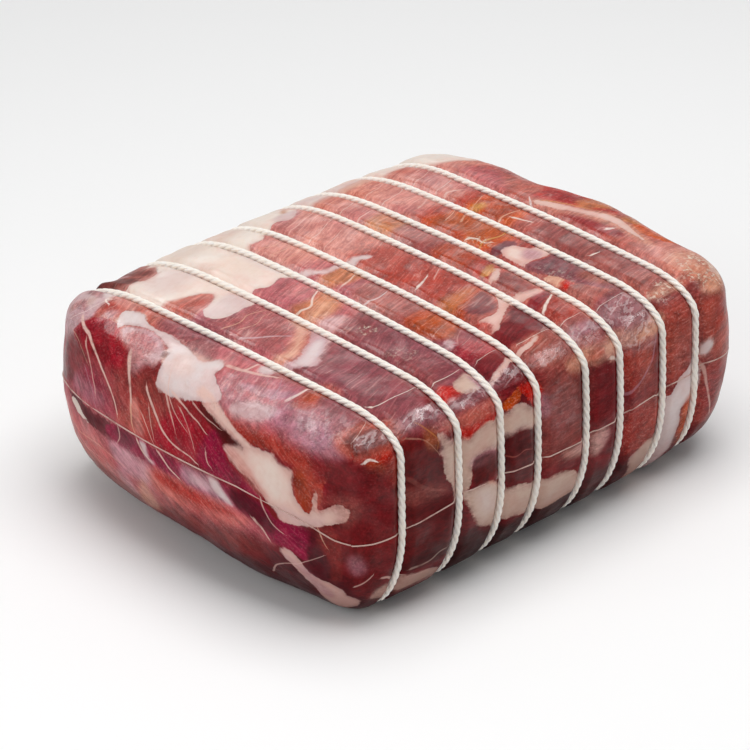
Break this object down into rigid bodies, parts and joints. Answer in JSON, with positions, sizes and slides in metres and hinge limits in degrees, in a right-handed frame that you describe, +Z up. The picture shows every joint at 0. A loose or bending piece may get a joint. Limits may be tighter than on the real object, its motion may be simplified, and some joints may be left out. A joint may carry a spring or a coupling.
{
  "type": "pressed boneless prosciutto tied with twine",
  "caption": "Whole boned dry-cured ham, pressed into a rounded brick with marbled faces and tied across with loops of white twine.",
  "frame": {"origin": "on the surface the ham lies on, under the middle of its bounding box", "axes": "+X along the ham's length, across the loops of twine; +Y towards its back long side; +Z up"},
  "size_m": [0.2685, 0.2085, 0.1006],
  "materials": {
    "meat": "moist cured meat, deep red to pink with cream fat, satin to glossy",
    "twine": "off-white twisted cotton twine"
  },
  "bodies": {
    "root": {"ham": "meat", "string_1": "twine", "string_2": "twine", "string_3": "twine", "string_4": "twine", "string_5": "twine", "string_6": "twine", "string_7": "twine", "string_8": "twine"}
  },
  "joints": []
}
